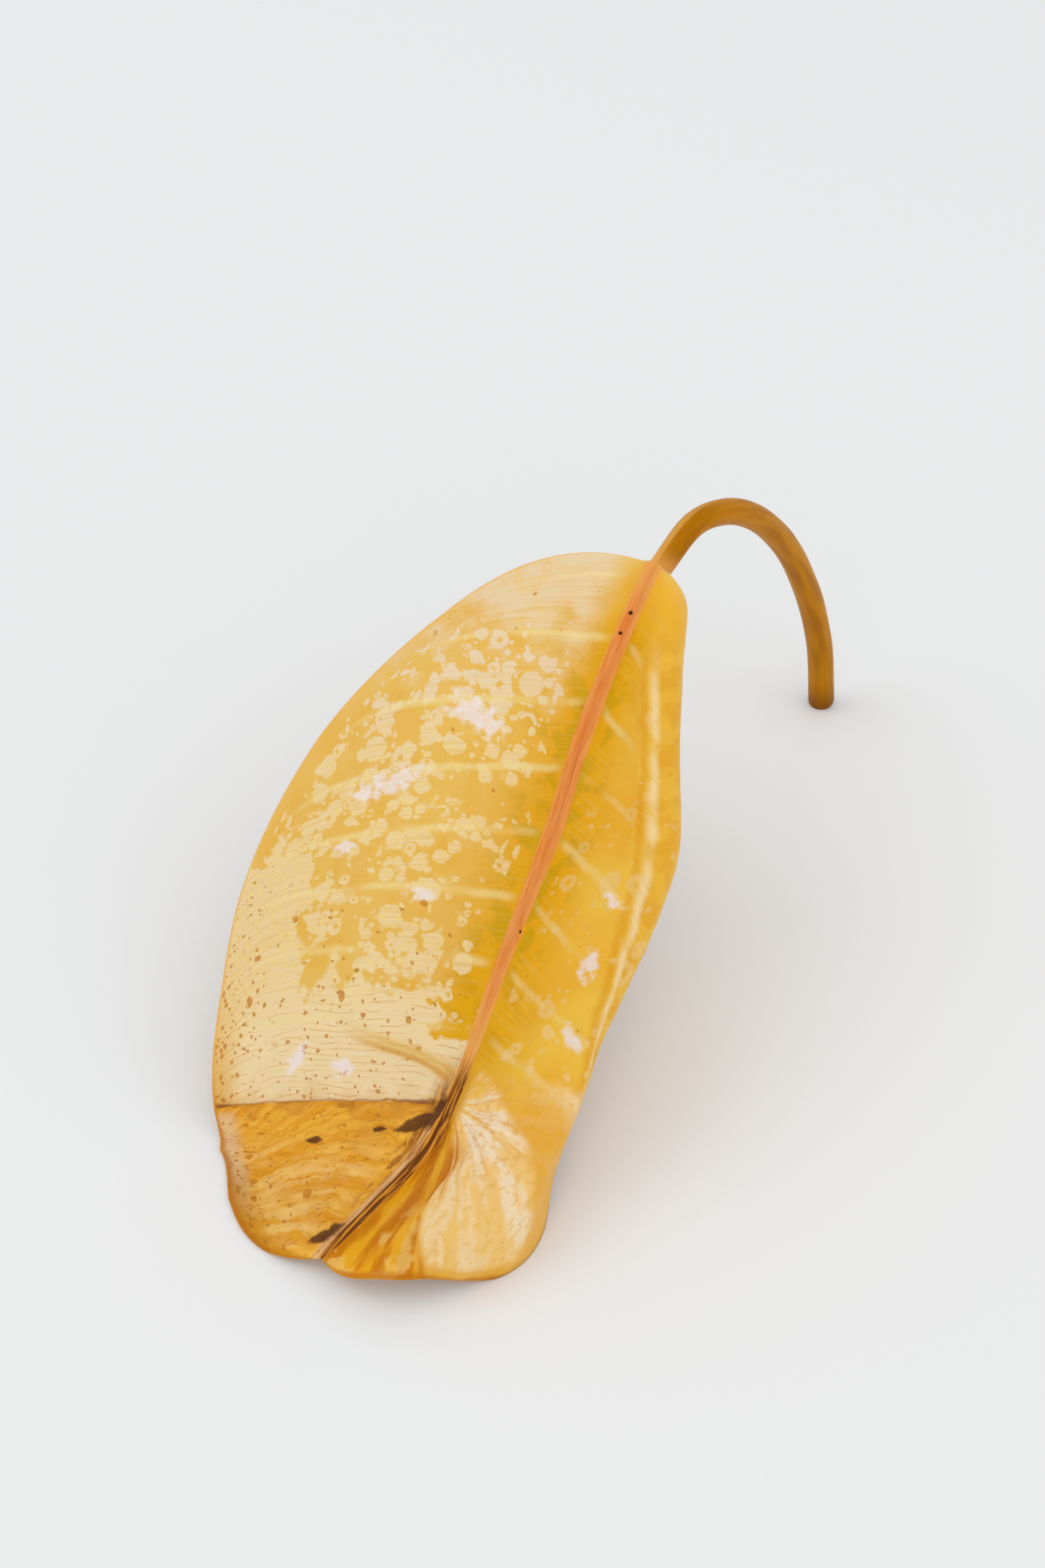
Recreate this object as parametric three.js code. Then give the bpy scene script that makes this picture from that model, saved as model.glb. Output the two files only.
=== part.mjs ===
// A fallen rubber plant leaf, yellow and drying, as it rests on a table.
// It touches the table with the cut end of its stalk, the lobe right of its tip and the edge left of its tip.
// Blade, midrib and stalk grew as one thing, so they are one closed solid.
// Millimetres, +Z up. The tip points to -Y, the stalk to +Y, and "left" and "right" are seen from the tip.

import * as THREE from 'three';

// Driving dimensions
const bladeHalfWidth = 42;
const bladeThickness = 0.7;
const outlineRoundness = 2.3;
const tipHalfWidth = 1;
const footRadius = 2.3;
const footRounding = 0.8;
const grooveWidth = 9;

// The box of the finished leaf is centred on the origin by this shift of the points below
const centreShift = new THREE.Vector3(4.8, 0.7, 0);

// Places along the midrib where the blade's form is set, from 0 at the stalk to 1 at the tip
const stations = [0, 0.1, 0.25, 0.45, 0.62, 0.75, 0.83, 0.92, 1];

// The midrib droops from the stalk, turns at the crease near three quarters and ends just over the table
const midribPoints = [
  [-0.5, 26, 55.5], [-0.3, 15.5, 47.5], [0.8, 3, 38], [3.9, -12, 29.5], [6.8, -30, 21],
  [10.4, -48, 13.5], [10.6, -56, 10], [8.4, -65, 6.5], [5.5, -74, 3],
];
const ribHalfWidth = [1.8, 1.85, 1.95, 1.85, 1.4, 0.85, 0.6, 0.5, 0.4];
const ribDepth = [2.4, 2.1, 1.7, 1.3, 0.9, 0.6, 0.45, 0.35, 0.25];
const ribRaise = [0.25, 0.25, 0.25, 0.25, 0.2, 0.15, 0.1, 0.1, 0];

// Each half of the blade, station by station. fullness scales the oval outline, and veinLean is how far
// the side veins lean to the tip. Going outwards, the blade climbs at the rise angle and then turns
// down by the turn angle, from turnStart over turnLength. groove is a valley's depth beside the midrib.
// Angles are in degrees and lengths in millimetres.
const leftHalf = {
  side: 1,
  columns: 9,
  fullness: [1, 1.03, 1.14, 1.2, 1.04, 0.97, 0.96, 0.94, 0.95],
  veinLean: [6, 10, 15, 20, 22, 20, 28, 36, 40],
  rise: [25, 28, 30, 28, 21, -2, -5, -8, -6],
  turn: [45, 48, 56, 62, 47, 18, 4, 0, 0],
  turnStart: [0, 0, 0, 0, 0, 0, 0, 0, 0],
  turnLength: [30, 34, 42, 48, 44, 40, 30, 25, 20],
  groove: [0, 0, 0, 0, 0, 0, 0, 0, 0],
};
const rightHalf = {
  side: -1,
  columns: 15,
  fullness: [0.6, 0.98, 1.08, 1.08, 0.9, 0.7, 0.88, 0.56, 0.4],
  veinLean: [15, 18, 20, 22, 22, 12, 12, 10, 5],
  rise: [30, 35, 32, 30, 26, 14, 18, 14, 6],
  turn: [140, 145, 140, 138, 138, 115, 102, 92, 40],
  turnStart: [1, 8.5, 13.5, 14, 12.5, 8.5, 9, 5, 4],
  turnLength: [8, 10, 13, 15, 14, 14, 14, 12, 10],
  groove: [0, 0, 0, 0, 0, 0.6, 2, 1.6, 0.3],
};

// The stalk stands on its cut end, arches over and runs into the midrib. Places are millimetres from the foot.
const stalkStations = [0, 15, 31, 48, 64, 75, 84];
const stalkPoints = [
  [9.9, 72.1, 0], [9.3, 69.4, 15], [8, 64, 30], [6.1, 55.5, 44.8], [3.6, 44.7, 55.6],
  [1.2, 34.6, 58.8], [-0.6, 27, 54.3],
];
const stalkRadius = [2.3, 2.25, 2.2, 2.15, 2.1, 1.95, 1.85];

// Mesh fineness
const bladeRows = 48;
const stalkRows = 16;
const ribColumns = [0.45, 0.8, 1];
const stepsPerColumn = 6;

const radians = THREE.MathUtils.degToRad;
const upwards = new THREE.Vector3(0, 0, 1);

// A smooth curve through the values at the given places, read at one place
function valueAt(places, values, place) {
  const last = places.length - 1;
  const at = THREE.MathUtils.clamp(place, places[0], places[last]);
  let index = 0;
  while (index < last - 1 && at >= places[index + 1]) index += 1;
  const slopeAt = (i) => {
    const before = Math.max(i - 1, 0);
    const after = Math.min(i + 1, last);
    return (values[after] - values[before]) / (places[after] - places[before]);
  };
  const span = places[index + 1] - places[index];
  const t = (at - places[index]) / span;
  const startWeight = (1 + 2 * t) * (1 - t) ** 2;
  const endWeight = t * t * (3 - 2 * t);
  const startSlope = slopeAt(index) * span * t * (1 - t) ** 2;
  const endSlope = slopeAt(index + 1) * span * t * t * (t - 1);
  return values[index] * startWeight + values[index + 1] * endWeight + startSlope + endSlope;
}

// The same curve through points
function pointAt(places, points, place) {
  const [x, y, z] = [0, 1, 2].map((axis) => valueAt(places, points.map((point) => point[axis]), place));
  return new THREE.Vector3(x, y, z);
}

// Directions on a path: along it towards the tip, level to its left, and out of its upper side
function directionsAt(places, points, place) {
  const nearby = 0.001 * places[places.length - 1];
  const forward = pointAt(places, points, place + nearby).sub(pointAt(places, points, place - nearby)).normalize();
  const left = new THREE.Vector3().crossVectors(forward, upwards).normalize();
  const up = new THREE.Vector3().crossVectors(left, forward);
  return { forward, left, up };
}

// The distance from the midrib to the edge of one half, measured along the side veins
function reachOf(half, along) {
  const oval = Math.sqrt(Math.max(1 - Math.abs(2 * along - 1) ** outlineRoundness, 0));
  return bladeHalfWidth * oval * valueAt(stations, half.fullness, along) + tipHalfWidth;
}

// The slope of one half at a distance from the midrib, measured in its own section
function slopeOf(half, along, distance) {
  const read = (values) => valueAt(stations, values, along);
  const turned = THREE.MathUtils.smoothstep(
    distance, read(half.turnStart), read(half.turnStart) + read(half.turnLength));
  let slope = radians(read(half.rise) - read(half.turn) * turned);
  if (distance < grooveWidth) {
    const phase = Math.PI / grooveWidth;
    slope -= read(half.groove) * phase * Math.sin(2 * phase * distance);
  }
  return slope;
}

// Points on the blade's middle surface from the midrib out to the edge of one half
function walkHalf(half, along, distances) {
  const { forward, left, up } = directionsAt(stations, midribPoints, along);
  const lean = radians(valueAt(stations, half.veinLean, along));
  const outward = left.multiplyScalar(half.side * Math.cos(lean)).addScaledVector(forward, Math.sin(lean));
  const point = pointAt(stations, midribPoints, along);
  const points = [];
  let walked = 0;
  for (const distance of distances) {
    const step = (distance - walked) / stepsPerColumn;
    for (let i = 0; i < stepsPerColumn; i += 1) {
      const slope = slopeOf(half, along, walked + step / 2);
      point.addScaledVector(outward, step * Math.cos(slope)).addScaledVector(up, step * Math.sin(slope));
      walked += step;
    }
    points.push(point.clone());
  }
  return points;
}

// How far the columns of one half lie from the midrib: closer on the rib, even on the blade
function columnDistances(half, along) {
  const rib = valueAt(stations, ribHalfWidth, along);
  const reach = reachOf(half, along);
  const onBlade = Array.from({ length: half.columns }, (_, i) => rib + (reach - rib) * (i + 1) / half.columns);
  return [...ribColumns.map((share) => share * rib), ...onBlade];
}

// One row of the middle surface from the left edge to the right edge
function middleRow(along) {
  const leftPoints = walkHalf(leftHalf, along, columnDistances(leftHalf, along)).reverse();
  const rightPoints = walkHalf(rightHalf, along, columnDistances(rightHalf, along));
  return [...leftPoints, pointAt(stations, midribPoints, along), ...rightPoints];
}

// Rows crowd together at both ends, where the outline turns fastest
const firstRow = 0.004;
const rowPlaces = Array.from({ length: bladeRows + 1 }, (_, i) => (
  firstRow + (1 - firstRow) * (1 - Math.cos(Math.PI * i / bladeRows)) / 2));
const middleRows = rowPlaces.map(middleRow);

// The direction out of the upper face at a point of the middle surface
function normalAt(row, column) {
  const rows = middleRows.length - 1;
  const columns = middleRows[0].length - 1;
  const acrossRow = middleRows[row];
  const right = acrossRow[Math.min(column + 1, columns)].clone().sub(acrossRow[Math.max(column - 1, 0)]);
  const tipward = middleRows[Math.min(row + 1, rows)][column].clone()
    .sub(middleRows[Math.max(row - 1, 0)][column]);
  return tipward.cross(right).normalize();
}

// A ring of the blade runs over the upper face from left to right and back under the lower face.
// Where the leaf would reach through the table it is pressed up onto it, which leaves small flat spots.
function bladeRing(row) {
  const along = rowPlaces[row];
  const { up } = directionsAt(stations, midribPoints, along);
  const depth = valueAt(stations, ribDepth, along);
  const raise = valueAt(stations, ribRaise, along);
  const centre = leftHalf.columns + ribColumns.length;
  const upper = [];
  const lower = [];
  middleRows[row].forEach((point, column) => {
    const offset = normalAt(row, column).multiplyScalar(bladeThickness / 2);
    const ribPlace = [0, ...ribColumns][Math.abs(column - centre)] ?? 1;
    const roundness = Math.sqrt(1 - ribPlace ** 2);
    const above = point.clone().add(offset).addScaledVector(up, raise * roundness);
    const below = point.clone().sub(offset).addScaledVector(up, -depth * roundness);
    const liftToTable = Math.max(-Math.min(above.z, below.z), 0);
    above.z += liftToTable;
    below.z += liftToTable;
    upper.push(above);
    lower.push(below);
  });
  return [...upper, ...lower.reverse()];
}

// A ring of the stalk has the same number of points, half on its upper side and half on its lower
function stalkRing(distance, radius, isFoot) {
  const centre = pointAt(stalkStations, stalkPoints, distance);
  const { left, up } = directionsAt(stalkStations, stalkPoints, distance);
  const pointsInRing = 2 * middleRows[0].length;
  return Array.from({ length: pointsInRing }, (_, i) => {
    const angle = 2 * Math.PI * (i + 0.5) / pointsInRing;
    const point = centre.clone()
      .addScaledVector(left, radius * Math.cos(angle))
      .addScaledVector(up, radius * Math.sin(angle));
    if (isFoot) point.z = 0;
    return point;
  });
}

// The foot's cut end is flat on the table, with a rounded rim
function stalkRings() {
  const stalkLength = stalkStations[stalkStations.length - 1];
  const rings = [stalkRing(0, footRadius - footRounding, true)];
  for (let i = 0; i < stalkRows; i += 1) {
    const distance = footRounding + (stalkLength - footRounding) * i / (stalkRows - 1);
    rings.push(stalkRing(distance, valueAt(stalkStations, stalkRadius, distance), false));
  }
  return rings;
}

// One closed skin over all rings. Upper and lower faces are split along the same diagonals.
function skinOver(rings) {
  const positions = rings.flat().flatMap((point) => point.toArray());
  const ringSize = rings[0].length;
  const halfRing = ringSize / 2;
  const triangles = [];
  for (let ring = 0; ring < rings.length - 1; ring += 1) {
    for (let i = 0; i < ringSize; i += 1) {
      const next = (i + 1) % ringSize;
      const a = ring * ringSize + i;
      const b = ring * ringSize + next;
      const c = a + ringSize;
      const d = b + ringSize;
      if (i < halfRing) triangles.push(a, c, d, a, d, b);
      else triangles.push(a, c, b, b, c, d);
    }
  }
  const lastRing = (rings.length - 1) * ringSize;
  for (let i = 0; i < halfRing - 1; i += 1) {
    const across = ringSize - 1 - i;
    triangles.push(i, i + 1, across - 1, i, across - 1, across);
    triangles.push(lastRing + i, lastRing + across - 1, lastRing + i + 1);
    triangles.push(lastRing + i, lastRing + across, lastRing + across - 1);
  }
  const geometry = new THREE.BufferGeometry();
  geometry.setAttribute('position', new THREE.Float32BufferAttribute(positions, 3));
  geometry.setIndex(triangles);
  return geometry;
}

function makeLeaf() {
  const bladeRings = rowPlaces.map((_, row) => bladeRing(row));
  const geometry = skinOver([...stalkRings(), ...bladeRings]);
  geometry.translate(centreShift.x, centreShift.y, centreShift.z);
  geometry.computeVertexNormals();
  const driedLeaf = new THREE.MeshStandardMaterial({ color: 0xdfab42, roughness: 0.45, metalness: 0 });
  const leaf = new THREE.Mesh(geometry, driedLeaf);
  leaf.name = 'leaf';
  return leaf;
}

const part = new THREE.Group();
part.add(makeLeaf());

export default part;
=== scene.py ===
import math

import bmesh
import bpy
import numpy as np
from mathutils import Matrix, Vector, noise


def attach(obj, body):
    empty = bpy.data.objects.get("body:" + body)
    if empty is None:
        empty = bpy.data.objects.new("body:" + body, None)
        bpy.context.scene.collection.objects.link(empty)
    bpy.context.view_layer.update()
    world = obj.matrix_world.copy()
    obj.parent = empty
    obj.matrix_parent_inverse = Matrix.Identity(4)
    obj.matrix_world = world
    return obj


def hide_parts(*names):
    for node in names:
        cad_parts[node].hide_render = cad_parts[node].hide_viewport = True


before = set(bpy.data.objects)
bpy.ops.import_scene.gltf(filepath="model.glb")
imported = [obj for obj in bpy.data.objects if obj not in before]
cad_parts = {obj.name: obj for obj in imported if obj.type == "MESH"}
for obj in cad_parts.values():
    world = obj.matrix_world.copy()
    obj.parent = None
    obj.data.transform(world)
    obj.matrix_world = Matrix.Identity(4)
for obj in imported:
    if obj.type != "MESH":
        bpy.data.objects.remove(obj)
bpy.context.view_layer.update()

# Camera
# The leaf is seen from above and from the right of its tip, as someone who bends over the table sees it.
# The place is in metres. The tilt is up from straight down and the turn is about the upright axis, in
# degrees.
CAMERA_PLACE = (0.1271, -0.2082, 0.2530)
CAMERA_TILT = 47.5
CAMERA_TURN = 32
LENS = 50
FILM_WIDTH = 36
camera_data = bpy.data.cameras.new("camera")
camera_data.lens = LENS
camera_data.sensor_width = FILM_WIDTH
camera_data.sensor_fit = "AUTO"
camera_data.clip_start = 0.01
camera = bpy.data.objects.new("camera", camera_data)
camera.location = CAMERA_PLACE
camera.rotation_euler = (math.radians(CAMERA_TILT), 0, math.radians(CAMERA_TURN))
bpy.context.scene.collection.objects.link(camera)
bpy.context.scene.camera = camera

# Leaf, its form
# One grown piece: a thin leathery blade, its midrib and a round stalk. The left half arches, the right half
# folds down, and the tip is bent at a crease. Lengths here are millimetres and angles are degrees.
MILLIMETRE = 0.001
BLADE_HALF_WIDTH = 42
BLADE_THICKNESS = 0.7
OUTLINE_ROUNDNESS = 2.3
TIP_HALF_WIDTH = 1
FOOT_ROUNDING = 0.8
GROOVE_WIDTH = 9
EDGE_ROUND = 0.35
EDGE_SHARE = 0.45
CENTRE_SHIFT = (4.8, 0.7, 0)

stations = [0, 0.1, 0.25, 0.45, 0.62, 0.75, 0.83, 0.92, 1]
midrib_points = [
    [-0.5, 26, 55.5], [-0.3, 15.5, 47.5], [0.8, 3, 38], [3.9, -12, 29.5], [6.8, -30, 21],
    [10.4, -48, 13.5], [10.6, -56, 10], [8.4, -65, 6.5], [5.5, -74, 3],
]
rib_half_width = [1.8, 1.85, 1.95, 1.85, 1.4, 0.85, 0.6, 0.5, 0.4]
rib_depth = [2.4, 2.1, 1.7, 1.3, 0.9, 0.6, 0.45, 0.35, 0.25]
rib_raise = [0.25, 0.25, 0.25, 0.25, 0.2, 0.15, 0.1, 0.1, 0]

# Each half climbs outwards at the rise angle and turns down by the turn angle, from turn_start on and over
# turn_length
left_half = {
    "side": 1,
    "fullness": [1, 1.03, 1.14, 1.2, 1.04, 0.97, 0.96, 0.94, 0.95],
    "vein_lean": [6, 10, 15, 20, 22, 20, 28, 36, 40],
    "rise": [25, 28, 30, 28, 21, -2, -5, -8, -6],
    "turn": [45, 48, 56, 62, 47, 18, 4, 0, 0],
    "turn_start": [0, 0, 0, 0, 0, 0, 0, 0, 0],
    "turn_length": [30, 34, 42, 48, 44, 40, 30, 25, 20],
    "groove": [0, 0, 0, 0, 0, 0, 0, 0, 0],
}
right_half = {
    "side": -1,
    "fullness": [0.6, 0.98, 1.08, 1.08, 0.9, 0.7, 0.88, 0.56, 0.4],
    "vein_lean": [15, 18, 20, 22, 22, 12, 12, 10, 5],
    "rise": [30, 35, 32, 30, 26, 14, 18, 14, 6],
    "turn": [140, 145, 140, 138, 138, 115, 102, 92, 40],
    "turn_start": [1, 8.5, 13.5, 14, 12.5, 8.5, 9, 5, 4],
    "turn_length": [8, 10, 13, 15, 14, 14, 14, 12, 10],
    "groove": [0, 0, 0, 0, 0, 0.6, 2, 1.6, 0.3],
}
stalk_stations = [0, 15, 31, 48, 64, 75, 84]
stalk_points = [
    [9.9, 72.1, 0], [9.3, 69.4, 15], [8, 64, 30], [6.1, 55.5, 44.8], [3.6, 44.7, 55.6],
    [1.2, 34.6, 58.8], [-0.6, 27, 54.3],
]
stalk_radius = [2.3, 2.25, 2.2, 2.15, 2.1, 1.95, 1.85]

BLADE_ROWS = 330
STALK_ROWS = 60
RIB_COLUMNS = np.array([0.2, 0.4, 0.6, 0.78, 0.9, 0.98, 1.06])
BLADE_COLUMNS = 49


# A smooth curve through the values at the given places, read at many places at once
def follow(places, values, at):
    places = np.asarray(places, float)
    values = np.asarray(values, float)
    last = len(places) - 1
    at = np.clip(at, places[0], places[-1])
    index = np.clip(np.searchsorted(places, at, side="right") - 1, 0, last - 1)
    before = np.maximum(np.arange(last + 1) - 1, 0)
    after = np.minimum(np.arange(last + 1) + 1, last)
    slopes = (values[after] - values[before]) / (places[after] - places[before])
    span = places[index + 1] - places[index]
    t = (at - places[index]) / span
    middle = values[index] * (1 + 2 * t) * (1 - t) ** 2 + values[index + 1] * t * t * (3 - 2 * t)
    return middle + span * t * (1 - t) * (slopes[index] * (1 - t) - slopes[index + 1] * t)


def follow_points(places, points, at):
    return np.stack([follow(places, column, at) for column in np.transpose(points)], axis=-1)


def unit(vectors):
    return vectors / np.linalg.norm(vectors, axis=-1, keepdims=True)


# Directions on a path: along it to the tip, level to its left, and out of its upper side
def directions(places, points, at):
    nearby = 0.001 * places[-1]
    forward = unit(follow_points(places, points, at + nearby) - follow_points(places, points, at - nearby))
    left = unit(np.cross(forward, [0, 0, 1]))
    up = np.cross(left, forward)
    return forward, left, up


def ease(start, length, value):
    t = np.clip((value - start) / length, 0, 1)
    return t * t * (3 - 2 * t)


FIRST_ROW = 0.0006
even_rows = np.linspace(0, 1, BLADE_ROWS + 1)
close_at_ends = (1 - np.cos(np.pi * even_rows)) / 2
row_place = FIRST_ROW + (1 - FIRST_ROW) * (0.4 * even_rows + 0.6 * close_at_ends)
row_forward, row_left, row_up = directions(stations, midrib_points, row_place)
midrib_line = follow_points(stations, midrib_points, row_place)
row_rib = follow(stations, rib_half_width, row_place)


# Walks one half of every row from the midrib out to its edge
def walk_half(half):
    def read(name):
        return follow(stations, half[name], row_place)[:, None]

    oval = np.sqrt(np.clip(1 - np.abs(2 * row_place - 1) ** OUTLINE_ROUNDNESS, 0, None))
    reach = BLADE_HALF_WIDTH * oval * follow(stations, half["fullness"], row_place) + TIP_HALF_WIDTH
    rib_edge = row_rib * RIB_COLUMNS[-1]
    shares = np.arange(1, BLADE_COLUMNS - 1) / (BLADE_COLUMNS - 2)
    inner_reach = np.maximum(reach - EDGE_ROUND, rib_edge + 0.05)
    on_blade = rib_edge[:, None] + (inner_reach - rib_edge)[:, None] * shares
    at_edge = reach[:, None] - np.array([0.12, 0]) * (inner_reach < reach)[:, None]
    on_blade = np.concatenate([on_blade, at_edge], axis=1)
    distance = np.concatenate([row_rib[:, None] * RIB_COLUMNS, on_blade], axis=1)
    edges = np.concatenate([np.zeros((len(distance), 1)), distance], axis=1)
    step = np.diff(edges, axis=1)
    middle = (edges[:, 1:] + edges[:, :-1]) / 2
    slope = np.radians(read("rise") - read("turn") * ease(read("turn_start"), read("turn_length"), middle))
    wave = np.pi / GROOVE_WIDTH
    slope -= read("groove") * wave * np.sin(2 * wave * middle) * (middle < GROOVE_WIDTH)
    lean = np.radians(read("vein_lean"))
    off_rib = half["side"] * row_left * np.cos(lean) + row_forward * np.sin(lean)
    level = np.cumsum(step * np.cos(slope), axis=1)[..., None] * off_rib[:, None, :]
    rise = np.cumsum(step * np.sin(slope), axis=1)[..., None] * row_up[:, None, :]
    return midrib_line[:, None, :] + level + rise, distance, reach


left_points, left_distance, left_reach = walk_half(left_half)
right_points, right_distance, right_reach = walk_half(right_half)
sheet = np.concatenate([left_points[:, ::-1], midrib_line[:, None], right_points], axis=1)

# Places on the blade in millimetres: along the midrib from the stalk, across from the midrib with the left
# half positive, and in from the edge
rib_run = np.concatenate([[0], np.cumsum(np.linalg.norm(np.diff(midrib_line, axis=0), axis=1))])
across = np.concatenate([left_distance[:, ::-1], np.zeros((len(sheet), 1)), -right_distance], axis=1)
along = np.repeat(rib_run[:, None], across.shape[1], axis=1)
reach_here = np.where(across > 0, left_reach[:, None], right_reach[:, None])
inset = reach_here - np.abs(across)
# The same places as if the blade lay flat, where a row leans to the tip with the veins
left_lean = follow(stations, left_half["vein_lean"], row_place)[:, None]
right_lean = follow(stations, right_half["vein_lean"], row_place)[:, None]
lean_here = np.radians(np.where(across > 0, left_lean, right_lean))
flat_across = across * np.cos(lean_here)
flat_along = along + np.abs(across) * np.sin(lean_here)
# The side veins leave the midrib nearly level, about every 10 mm, and bend to the tip near the edge
vein_tilt = np.where(across > 0, 0.17 - 0.0055 * (along - 15), 0.19)
edge_bend = 0.03 * np.clip(14 - inset, 0, None) ** 2
vein_place = along - np.abs(across) * vein_tilt - edge_bend
VEIN_GAP = 10.6
FIRST_VEIN = 12.3
vein_count = (vein_place - FIRST_VEIN) / VEIN_GAP
from_vein = np.abs(vein_count - np.round(vein_count)) * VEIN_GAP


def unevenness(first, second, seed):
    flat = zip(np.ravel(first), np.ravel(second))
    return np.array([noise.noise((a, b, seed)) for a, b in flat]).reshape(np.shape(first))


def ridge(distance, width):
    return np.exp(-((distance / width) ** 2))


# Fine forms that lift or sink the blade: veins, soft waves, the crease at the bent tip with the crumpled flap
# beyond it, the ridge that runs on from the crease to the tip, and the wrinkles that gather at the bend
BEND_AT = 87
VEIN_HEIGHT = 0.09
SOFT_WAVE_HEIGHT = 0.35
CREASE_DEPTH = 0.3
FLAP_STREAK_HEIGHT = 0.4
TIP_RIDGE_HEIGHT = 0.75
GATHER_HEIGHT = 0.55
CREST_HEIGHT = 0.5
WRINKLE_HEIGHT = 0.4
past_crease = along - BEND_AT + 0.08 * across
before_tip = 1 - ease(82, 8, along)
from_bend = np.hypot(across, along - BEND_AT)
bend_angle = np.arctan2(across, along - BEND_AT)
flap = ease(0.3, 2.5, past_crease) * ease(0.5, 3, across)
inner = ease(0, 6, inset)
vein_strength = 0.5 + 1.2 * unevenness(vein_count.round(), across / 16, 9)
clear_of_rib = ease(1.5, 4, np.abs(across))
lift = VEIN_HEIGHT * ridge(from_vein, 0.6) * vein_strength * before_tip * ease(1, 4, inset) * clear_of_rib
lift += SOFT_WAVE_HEIGHT * unevenness(across / 13, along / 13, 1) * inner
lift += 0.045 * unevenness(across / 3, vein_place / 2, 2) * inner * before_tip
crease_left = ease(-1, 2.5, across)
lift -= CREASE_DEPTH * ridge(past_crease, 0.7) * crease_left * ease(0, 3, inset)
lift += 0.12 * ridge(past_crease + 1.6, 1.2) * crease_left * ease(0, 3, inset)
streaks = 1 - 2 * np.abs(unevenness(across / 8, past_crease / 2.3 + 0.05 * across, 3))
lift += FLAP_STREAK_HEIGHT * (streaks - 0.6) * flap * ease(1, 6, inset)
fine_streaks = unevenness(across / 3.2, past_crease / 0.9, 4)
lift += 0.12 * fine_streaks * flap * ease(0.5, 4, inset)
to_tip = ease(88, 3, along) * (1 - ease(111, 4, along))
lift += TIP_RIDGE_HEIGHT * ridge(across - 0.8, 1.1) * to_tip
lift -= 0.35 * ridge(across + 1.6, 1.0) * to_tip
gathered = ease(1, 4, from_bend) * (1 - ease(13, 14, from_bend)) * (1 - ease(-0.5, 1.5, across))
gathered *= ease(80, 6, along)
lift += GATHER_HEIGHT * unevenness(bend_angle * 5.5, from_bend / 16, 5) * gathered
lift += 0.25 * unevenness(bend_angle * 13, from_bend / 9, 6) * gathered
tip_right = ease(92, 6, along) * (1 - ease(-1, 1.5, across))
lift += 0.4 * unevenness(across / 2.6, along / 7, 7) * tip_right * ease(0, 1.5, inset)

# The right half turns down over a crest, with a shallow hollow behind it
crest_places = [0, 14, 24, 37, 47, 58, 72, 86, 92]
crest_across = [2.5, 9.5, 14.6, 17.2, 19.2, 20.2, 19.5, 17.5, 17.5]
BEFORE_CREST = -40
past_crest = np.where(across < 0, -across - follow(crest_places, crest_across, along), BEFORE_CREST)
crest_fade = ease(6, 12, along) * (1 - ease(70, 14, along))
crest_sway = 0.5 * unevenness(along / 9, along / 40, 10)
lift += CREST_HEIGHT * ridge(past_crest + crest_sway, 1.1) * crest_fade
lift -= 0.45 * ridge(past_crest - 3, 1.8) * crest_fade
lift -= 0.25 * ridge(past_crest + 4, 3) * crest_fade

# One small wrinkle runs on the left half to the bend
wrinkle_start = np.array([23.5, 71.5])
wrinkle_run = np.array([0.7, 84.8]) - wrinkle_start
wrinkle_length = np.linalg.norm(wrinkle_run)
wrinkle_run = wrinkle_run / wrinkle_length
down_wrinkle = (across - wrinkle_start[0]) * wrinkle_run[0] + (along - wrinkle_start[1]) * wrinkle_run[1]
off_wrinkle = (across - wrinkle_start[0]) * wrinkle_run[1] - (along - wrinkle_start[1]) * wrinkle_run[0]
off_wrinkle -= 0.8 * np.sin(down_wrinkle / 4.4)
on_wrinkle = ease(0, 5, down_wrinkle) * (1 - ease(wrinkle_length - 3, 4, down_wrinkle))
lift += (WRINKLE_HEIGHT * ridge(off_wrinkle, 0.5) - 0.3 * ridge(off_wrinkle + 1.1, 0.6)) * on_wrinkle


# How far a place is from the middle of the nearest oval, where 1 is the oval's edge. An oval is its middle
# across and along, its half width, its half length and its turn in degrees.
def from_ovals(*ovals):
    sizes = []
    for middle_across, middle_along, half_width, half_length, turn in ovals:
        aside, onward = across - middle_across, along - middle_along
        cosine, sine = math.cos(math.radians(turn)), math.sin(math.radians(turn))
        turned_aside = (aside * cosine - onward * sine) / half_width
        turned_onward = (aside * sine + onward * cosine) / half_length
        sizes.append(np.hypot(turned_aside, turned_onward))
    return np.min(sizes, axis=0)


# Bruises lie at the bend, on the flap and at the tip. The pale lilac patches are painted glints: painted
# reflections of the window on the glossy skin.
from_bruise = from_ovals(
    (3.6, 90.1, 3.0, 1.2, -28), (0.9, 88.8, 1.2, 2.9, 0), (2.9, 110.7, 2.2, 1.8, -35),
    (18.4, 93.0, 1.5, 0.7, 10), (8.9, 91.0, 1.1, 0.6, 10))
from_painted_glint = from_ovals(
    (17.5, 27.0, 3.2, 1.6, 20), (14.6, 28.6, 2.0, 1.2, 20), (26.7, 36.4, 3.6, 1.6, -15),
    (30.6, 37.6, 1.7, 1.2, 10), (31.0, 46.2, 1.6, 1.1, 0), (15.8, 55.1, 1.7, 0.9, 15),
    (25.7, 78.0, 1.2, 1.8, 0), (18.1, 80.1, 1.3, 1.5, 0), (-16.8, 69.5, 1.4, 1.9, 0),
    (-16.9, 48.2, 1.6, 0.8, 0), (-17.1, 57.9, 1.1, 2.2, 20))


# The direction out of the upper face everywhere on the sheet
def outward(points):
    return unit(np.cross(np.gradient(points, axis=0), np.gradient(points, axis=1)))


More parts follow.
